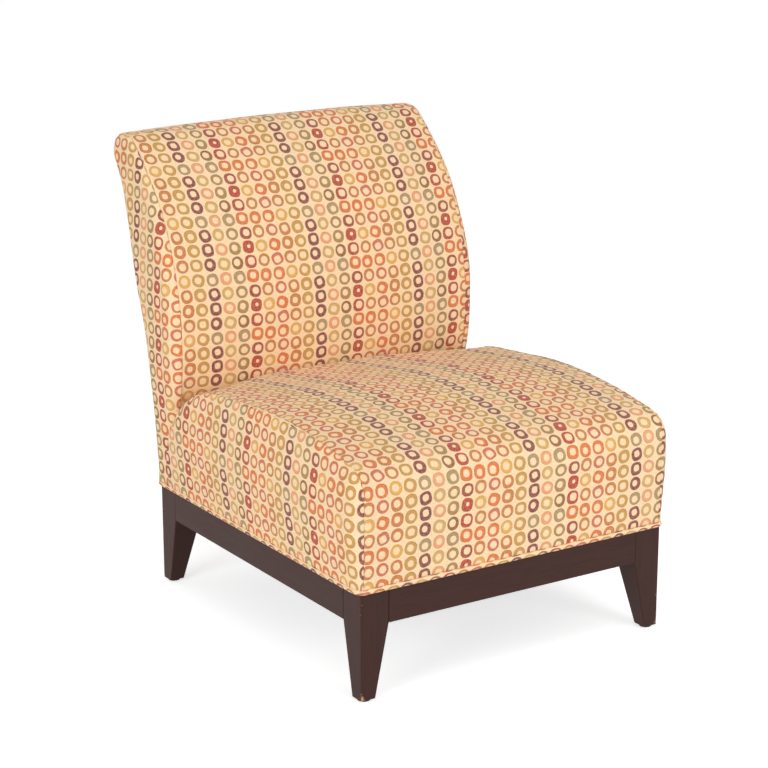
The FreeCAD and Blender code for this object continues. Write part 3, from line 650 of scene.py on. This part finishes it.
def stained_wood(name, grain):
    """Dark stained hardwood, with its grain along one axis, worn pale at the feet."""
    material, tree, shader = new_material(name, 0.45, 0.2)
    s = Sums(tree)
    scale = [90.0, 90.0, 90.0]
    scale["XYZ".index(grain)] = 5.0
    spot, stretched = place_in_piece(tree, scale)
    x, y, z = s.split(spot)
    fibre = s.noise(stretched, 3.0, 6.0, 0.65)
    broad = s.noise(stretched, 0.5, 2.0)
    colour = s.mix(s.spread(fibre, 0.3, 0.7), tone(40, 18, 12), tone(56, 27, 19))
    colour = s.mix(s.do("MULTIPLY", broad, 0.4), colour, tone(64, 32, 24))
    from_side = s.do("SUBTRACT", BASE_HALF_WIDTH, s.do("ABSOLUTE", x))
    from_middle = s.do("ABSOLUTE", s.do("SUBTRACT", y, BASE_MIDDLE))
    from_end = s.do("SUBTRACT", BASE_HALF_DEPTH, from_middle)
    from_corner = s.do("ADD", s.do("ABSOLUTE", from_side), s.do("ABSOLUTE", from_end))
    from_foot = s.do("ADD", s.do("MULTIPLY", z, 0.55), from_corner)
    chips = s.noise(spot, 260.0, 3.0, 0.7)
    worn = s.do("MULTIPLY", s.spread(chips, 0.50, 0.56), s.spread(from_foot, 0.006, 0.013, 1, 0))
    dents = s.spread(s.noise(spot, 150.0, 2.0), 0.72, 0.74)
    nicks = s.do("MULTIPLY", dents, s.spread(from_corner, 0.003, 0.006, 1, 0))
    colour = s.mix(s.do("MAXIMUM", worn, s.do("MULTIPLY", nicks, 0.7)), colour, tone(190, 150, 118))
    tree.links.new(colour, shader.inputs["Base Color"])
    tree.links.new(s.spread(fibre, 0.2, 0.8, 0.38, 0.55), shader.inputs["Roughness"])
    tree.links.new(s.bump(fibre, 0.25, 0.0004), shader.inputs["Normal"])
    return material


def plain_wood(name, grain, light, dark):
    """Unfinished wood of the hidden frame, with its grain along one axis."""
    material, tree, shader = new_material(name, 0.7, 0.3)
    s = Sums(tree)
    scale = [70.0, 70.0, 70.0]
    scale["XYZ".index(grain)] = 4.0
    _, stretched = place_in_piece(tree, scale)
    fibre = s.noise(stretched, 2.0, 5.0, 0.6)
    tree.links.new(s.mix(s.spread(fibre, 0.3, 0.7), light, dark), shader.inputs["Base Color"])
    tree.links.new(s.bump(fibre, 0.3, 0.0005), shader.inputs["Normal"])
    return material


def woven_band(name, colour, stripe, across, along):
    """Webbing: coarse weave with a stripe, on the piece's own axes."""
    material, tree, shader = new_material(name, 0.85, 0.3)
    s = Sums(tree)
    spot, _ = place_in_piece(tree)
    axes = dict(zip("XYZ", s.split(spot)))
    height = weave_height(s, axes[across], axes[along], 0.0022)
    lines = s.do("ABSOLUTE", s.do("SINE", s.do("MULTIPLY", axes[across], math.pi / 0.0125)))
    tree.links.new(s.mix(s.spread(lines, 0.86, 0.94), colour, stripe), shader.inputs["Base Color"])
    tree.links.new(s.bump(height, 0.8, 0.0008), shader.inputs["Normal"])
    return material


def speckled(name, colour, other, scale, roughness, metallic=0.0, height=0.0002):
    """Plain stuff with a fine unevenness: felt, card, steel, nylon or lining cloth."""
    material, tree, shader = new_material(name, roughness, 0.4)
    s = Sums(tree)
    spot, _ = place_in_piece(tree)
    grain = s.noise(spot, scale, 4.0, 0.6)
    shader.inputs["Metallic"].default_value = metallic
    tree.links.new(s.mix(grain, colour, other), shader.inputs["Base Color"])
    tree.links.new(s.bump(grain, 0.4, height), shader.inputs["Normal"])
    return material


# The chair

def dress_frame():
    """Gives each hard piece of the frame its finish."""
    band, band_stripe = tone(176, 150, 112), tone(90, 60, 44)
    pale, pale_grain = tone(214, 178, 130), tone(176, 136, 92)
    zinc, dull_zinc = tone(176, 178, 184), tone(150, 152, 158)
    finishes = {
        "leg": stained_wood("stained_wood_upright", "Z"),
        "rail_across": stained_wood("stained_wood_across", "X"),
        "rail_along": stained_wood("stained_wood_along", "Y"),
        "box_across": plain_wood("pale_wood_across", "X", pale, pale_grain),
        "box_along": plain_wood("pale_wood_along", "Y", pale, pale_grain),
        "post": plain_wood("pale_wood_upright", "Z", tone(206, 170, 122), tone(168, 128, 86)),
        "web_long": woven_band("webbing_long", band, band_stripe, "X", "Y"),
        "web_cross": woven_band("webbing_cross", band, band_stripe, "Y", "X"),
        "strap": woven_band("webbing_back", band, band_stripe, "Z", "X"),
        "felt": speckled("felt", tone(66, 66, 68), tone(92, 92, 96), 900.0, 0.95),
        "card": speckled("card", tone(168, 134, 98), tone(150, 116, 82), 300.0, 0.9),
        "steel": speckled("zinc_plated_steel", zinc, dull_zinc, 500.0, 0.35, 1.0),
        "nylon": speckled("brown_nylon", tone(62, 48, 40), tone(52, 40, 34), 700.0, 0.5),
    }
    rules = [
        ("leg_", "leg"), ("base_rail_front", "rail_across"), ("base_rail_rear", "rail_across"),
        ("base_rail_", "rail_along"), ("base_block_screws", "steel"), ("base_bolts", "steel"),
        ("back_lag_screws", "steel"), ("glide_", "nylon"), ("base_block_", "box_across"),
        ("seat_rail_front", "box_across"), ("seat_rail_rear", "box_across"), ("seat_rail_", "box_along"),
        ("seat_corner_blocks", "box_across"), ("back_post_", "post"), ("back_rail_", "box_across"),
        ("seat_web_long", "web_long"), ("seat_web_cross", "web_cross"), ("back_strap", "strap"),
        ("seat_insulator", "felt"), ("back_board", "card"), ("back_tack_strip", "card"),
    ]
    for name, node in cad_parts.items():
        finish = next((key for start, key in rules if name.startswith(start)), None)
        if finish and node.type == "MESH":
            for slot in node.material_slots:
                slot.material = finishes[finish]


def make_seat(cloth_front, cloth_left, cloth_right):
    """Front and top of the seat in one length that is tucked in behind the back, and its two sides."""
    stations = across_stations(SEAT_SEAM)
    tuck_depth, tuck_height = 0.3, 0.30
    lines = []
    for x in stations:
        corners = crowned(SEAT_MIDDLE, SEAT_SIDE, x, SEAT_SEAM)
        line = line_from_hem(rounded_line(corners, slimmer(x, SEAT_SEAM)))
        tucked = (i for i, p in enumerate(line) if p.x > tuck_depth and p.y < tuck_height)
        lines.append(evenly(line[:next(tucked, len(line) - 1) + 1], 190))
    bm = cross_panel(lines, stations, SEAT_SEAM, 3.1, within=rounded_line(BACK_SIDE, 0.012))
    finish_cloth(bm, "seat_front_and_top_cover", cloth_front, ["seat_cover", "seat_foam"])
    width_line = rounded_line(SEAT_WIDTH_LINE)
    over = evenly(rounded_line(BACK_SIDE_FOOT + BACK_SIDE[2:]), 500)
    for hand, word, cloth in ((-1, "left", cloth_left), (1, "right", cloth_right)):
        bm = side_panel(SEAT_SIDE, width_line, SEAT_SEAM, hand, 5.3 + hand, over)
        finish_cloth(bm, "seat_side_cover_" + word, cloth, ["seat_side_" + word])


def line_from_hem(line):
    """Cuts a side-view line off at the hem, at both ends."""
    first = next(i for i, p in enumerate(line) if p.y >= HEM_LINE)
    if first:
        a, b = line[first - 1], line[first]
        line = [a.lerp(b, (HEM_LINE - a.y) / (b.y - a.y))] + line[first:]
    last = next((i for i, p in enumerate(line) if i > 5 and p.y < HEM_LINE), None)
    if last:
        a, b = line[last - 1], line[last]
        line = line[:last] + [a.lerp(b, (a.y - HEM_LINE) / (a.y - b.y))]
    return line


def front_and_rear(line):
    """Splits a side view of the back at its rear seam, into the inside cover and the outside cover."""
    line = line_from_hem(line)
    top = max(range(len(line)), key=lambda i: line[i].y)
    split = next(i for i in range(top, len(line)) if line[i].y < BACK_SEAM_HEIGHT)
    a, b = line[split - 1], line[split]
    seam = a.lerp(b, (a.y - BACK_SEAM_HEIGHT) / (a.y - b.y))
    first = next(i for i, p in enumerate(line) if p.y > 0.300)
    return evenly(line[first:split] + [seam], 170), evenly([seam] + line[split:], 100)


def make_back(cloth_front, cloth_rear, cloth_left, cloth_right):
    """Inside and outside covers of the back, and its two sides. The rear is pulled flat."""
    stations = across_stations(BACK_SEAM)
    fronts, rears = [], []
    for x in stations:
        full, rear = front_and_rear(rounded_line(back_corners(x)))
        slim, _ = front_and_rear(rounded_line(back_corners(x), slimmer(x, BACK_SEAM)))
        over_top = [min(1.0, max(0.0, (k - 120) / 35)) for k in range(len(full))]
        fronts.append([a.lerp(b, share) for a, b, share in zip(slim, full, over_top)])
        rears.append(rear)
    bm = cross_panel(fronts, stations, BACK_SEAM, 7.7)
    finish_cloth(bm, "inside_back_cover", cloth_front, ["back_cover_inside", "back_foam"])
    bm = cross_panel(rears, stations, BACK_SEAM, 9.2, softness=0.4)
    finish_cloth(bm, "outside_back_cover", cloth_rear, ["back_cover_outside"])
    width_line = rounded_line(BACK_WIDTH_LINE)
    for hand, word, cloth in ((-1, "left", cloth_left), (1, "right", cloth_right)):
        corners = BACK_SIDE_FOOT + back_corners(hand * BACK_SEAM)[2:]
        bm = side_panel(corners, width_line, BACK_SEAM, hand, 11.1 + hand)
        finish_cloth(bm, "back_side_cover_" + word, cloth, ["back_side_" + word])


def make_dust_cloth():
    """Black cloth tacked over the underside of the seat box, a little slack in the middle."""
    low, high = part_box("dust_cover")
    width, length = high[0] - low[0], high[1] - low[1]
    tacked, slack_reach, sag, ripple_height, ripple_size = 0.025, 0.12, 0.003, 0.0012, 0.09
    bm = bmesh.new()
    bmesh.ops.create_grid(bm, x_segments=80, y_segments=88, size=0.5)
    for v in bm.verts:
        x, y = v.co.x * width, v.co.y * length
        free = 1.0
        for edge in (width / 2 - abs(x), length / 2 - abs(y)):
            share = min(1.0, max(0.0, (edge - tacked) / slack_reach))
            free *= share * share * (3 - 2 * share)
        ripple = noise.noise(Vector((x / ripple_size, y / ripple_size, 2.2)))
        height = low[2] + 0.0001 - free * (sag + ripple_height * ripple)
        v.co = (x, (low[1] + high[1]) / 2 + y, height)
    bmesh.ops.recalc_face_normals(bm, faces=bm.faces)
    for face in bm.faces:
        face.smooth = True
    mesh = bpy.data.meshes.new("dust_cloth")
    bm.to_mesh(mesh)
    bm.free()
    black = speckled("black_lining_cloth", tone(34, 34, 36), tone(50, 50, 54), 900.0, 0.95)
    mesh.materials.append(black)
    piece = bpy.data.objects.new("dust_cloth", mesh)
    bpy.context.collection.objects.link(piece)
    if mesh.polygons[0].normal.z > 0:
        mesh.flip_normals()
    wall = piece.modifiers.new("cloth", "SOLIDIFY")
    wall.thickness = 0.0006
    wall.offset = -1
    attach(piece, "root")
    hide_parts("dust_cover")


def hem_path():
    """Plan of the foot of the cloth, once round from the middle of the rear, and its four corners."""
    quarter = [math.radians(a) for a in range(0, 91, 15)]
    path = [Vector((0, BACK_REAR))]
    for side, end, inwards in ((-1, 1, False), (-1, -1, True), (1, -1, False), (1, 1, True)):
        face = BACK_REAR if end > 0 else HEM_FRONT
        corner = []
        for a in quarter:
            x = SEAT_SEAM + (HEM_HALF - SEAT_SEAM) * math.sin(a)
            y = face - end * EDGE_RADIUS * (1 - math.cos(a))
            corner.append(Vector((side * x, y)))
        path += corner[::-1] if inwards else corner
    path.append(Vector((0, BACK_REAR)))
    return path


# Folded edge of the hem, as (proud of the cloth, above the hem line)
HEM_SECTION = [
    (-0.0012, 0.0), (0.0016, -0.0002), (0.0030, 0.0012), (0.0035, 0.0034),
    (0.0033, 0.0058), (0.0022, 0.0076), (0.0006, 0.0082), (-0.0012, 0.0080),
]


def hem_ring(bm, here, way, along):
    """One section of the hem, with the small swellings of its stitches."""
    out = Vector((way.y, -way.x))
    if out.dot(here) < 0:
        out = -out
    cloth = bm.verts.layers.float_vector["cloth"]
    fold_length, stitch_length = 0.035, 0.016
    lift = 0.0007 * noise.noise(Vector((along / fold_length, 1.7, 0)))
    swell = 1 + 0.22 * noise.noise(Vector((along / stitch_length, 4.4, 0)))
    ring = []
    for j, (proud, height) in enumerate(HEM_SECTION):
        p = here + out * (proud * swell if proud > 0 else proud)
        v = bm.verts.new((p.x, p.y, HEM_LINE + height + (lift if j > 1 else 0)))
        v[cloth] = (along, 0.004 + 0.0035 * j, 0)
        ring.append(v)
    return ring


def make_hems(cloth):
    """Folded band of the same cloth round the foot, sewn on, in four lengths."""
    path = hem_path()
    run = lengths_along(path)
    total = run[-1]
    count = round(total / 0.006)
    spots = [at_length(path, run, total * k / count) for k in range(count)]
    lengths = {"rear": [], "left": [], "front": [], "right": []}
    for k, p in enumerate(spots):
        if abs(p.x) < SEAT_SEAM + 0.006:
            lengths["front" if p.y < 0 else "rear"].append(k)
        else:
            lengths["left" if p.x < 0 else "right"].append(k)
    lengths["rear"].sort(key=lambda k: (k + count // 2) % count)
    for word, ks in lengths.items():
        bm = bmesh.new()
        start_cloth(bm)
        rings = []
        for k in ks + [(ks[-1] + 1) % count]:
            way = (spots[(k + 1) % count] - spots[(k - 1) % count]).normalized()
            rings.append(hem_ring(bm, spots[k], way, total * k / count))
        for a, b in zip(rings, rings[1:]):
            for j in range(len(HEM_SECTION)):
                i = (j + 1) % len(HEM_SECTION)
                bm.faces.new((a[j], a[i], b[i], b[j]))
        bm.faces.new(rings[0])
        bm.faces.new(rings[-1])
        bmesh.ops.recalc_face_normals(bm, faces=bm.faces)
        finish_cloth(bm, "hem_band_" + word, cloth, ["hem_" + word], thickness=0)


# The studio

def seen_directly(s):
    """1 where a camera, mirror or glass ray arrives, and 0 for the light that falls on the chair."""
    path = s.tree.nodes.new("ShaderNodeLightPath")
    mirrored = s.do("MAXIMUM", path.outputs["Is Glossy Ray"], path.outputs["Is Transmission Ray"])
    return s.do("MAXIMUM", path.outputs["Is Camera Ray"], mirrored)


def studio():
    """Plain pale floor, soft lamps and a white surround."""
    bpy.ops.mesh.primitive_plane_add(size=30, location=(0, 0, 0))
    floor = bpy.context.object
    floor.name = "floor"
    material, tree, shader = new_material("studio_floor", 0.9, 0.1)
    s = Sums(tree)
    shader.inputs["Base Color"].default_value = (0.86, 0.86, 0.86, 1)
    shader.inputs["Emission Color"].default_value = (1, 1, 1, 1)
    tree.links.new(s.do("MULTIPLY", seen_directly(s), 0.62), shader.inputs["Emission Strength"])
    floor.data.materials.append(material)
    world = bpy.data.worlds.new("studio")
    bpy.context.scene.world = world
    world.use_nodes = True
    tree = world.node_tree
    back = tree.nodes["Background"]
    back.inputs["Color"].default_value = (1, 1, 1, 1)
    s = Sums(tree)
    tree.links.new(s.pick(seen_directly(s), 0.42, 1.0), back.inputs["Strength"])
    lamp("key", (0.8, -3.4, 0.9), 1.8, 7.0, (0.1, -0.4, 0.15), 60)
    lamp("fill", (-4.2, -1.4, 1.3), 2.2, 26, (-0.2, 0.0, 0.4), 90)
    lamp("overhead", (0.2, -0.9, 3.3), 2.4, 26, (0.0, -0.3, 0.4), 180)


def lamp(name, place, size, power, target, spread):
    """Square lamp at a place, aimed at another, with its beam's width in degrees."""
    light = bpy.data.lights.new(name, "AREA")
    light.size = size
    light.energy = power
    light.spread = math.radians(spread)
    holder = bpy.data.objects.new(name, light)
    holder.location = place
    aim = Vector(target) - Vector(place)
    holder.rotation_euler = aim.to_track_quat("-Z", "Y").to_euler()
    bpy.context.collection.objects.link(holder)


def set_camera():
    """Camera fitted to the base, to the left of the chair's front and a little above it."""
    camera = bpy.data.cameras.new("camera")
    camera.lens = 99.68
    camera.sensor_width = 36
    camera.clip_end = 100
    holder = bpy.data.objects.new("camera", camera)
    place = Vector((-2.0806, -3.1315 + BASE_MIDDLE, 1.4578))
    aim = Vector((-0.0424, BASE_MIDDLE, 0.4314))
    holder.location = place
    holder.rotation_euler = (aim - place).to_track_quat("-Z", "Y").to_euler()
    bpy.context.collection.objects.link(holder)
    bpy.context.scene.camera = holder


bpy.context.scene.view_settings.view_transform = "Standard"
set_camera()
studio()
dress_frame()
front_cloth = ring_cloth("ring_cloth_seat", 0.031, -0.018)
seat_left_cloth = ring_cloth("ring_cloth_seat_left", 0.079, 0.012, -1)
seat_right_cloth = ring_cloth("ring_cloth_seat_right", 0.079, 0.012)
inside_back_cloth = ring_cloth("ring_cloth_inside_back", -0.021, 0.0)
outside_back_cloth = ring_cloth("ring_cloth_outside_back", -0.021, 0.0, -1)
back_left_cloth = ring_cloth("ring_cloth_back_left", 0.395, 0.012, -1)
back_right_cloth = ring_cloth("ring_cloth_back_right", 0.395, 0.012)
hem_cloth = ring_cloth("ring_cloth_hem", 0.0, 0.006)
make_seat(front_cloth, seat_left_cloth, seat_right_cloth)
make_back(inside_back_cloth, outside_back_cloth, back_left_cloth, back_right_cloth)
make_hems(hem_cloth)
make_dust_cloth()
